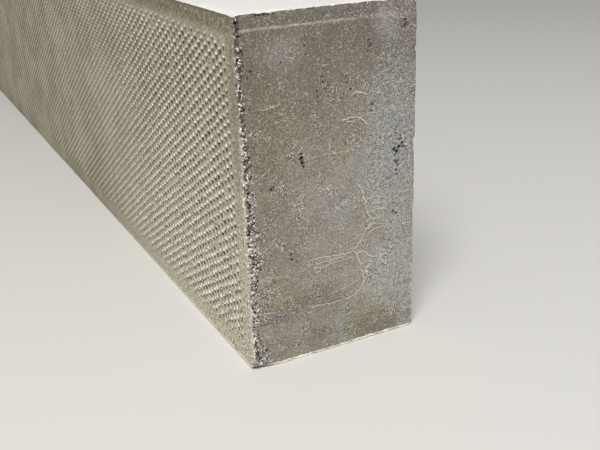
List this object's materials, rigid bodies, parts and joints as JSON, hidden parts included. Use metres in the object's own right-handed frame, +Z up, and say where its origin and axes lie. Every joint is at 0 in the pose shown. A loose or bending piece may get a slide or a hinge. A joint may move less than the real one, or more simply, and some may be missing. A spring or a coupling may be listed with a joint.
{
  "type": "concrete kerb stone",
  "caption": "Straight upright kerb stone of pressed concrete: an oblong block with rounded top arrises, an eased foot and flat ends.",
  "frame": {"origin": "middle of the base, on the floor that the kerb stone stands on", "axes": "+Z up; Y along the kerb stone, so that -Y and +Y are its two ends; -X out of the studded back and +X out of the smooth road face"},
  "size_m": [0.125, 1, 0.23],
  "materials": {
    "concrete": "matte"
  },
  "bodies": {
    "root": {"kerb_stone": "concrete"}
  },
  "joints": []
}
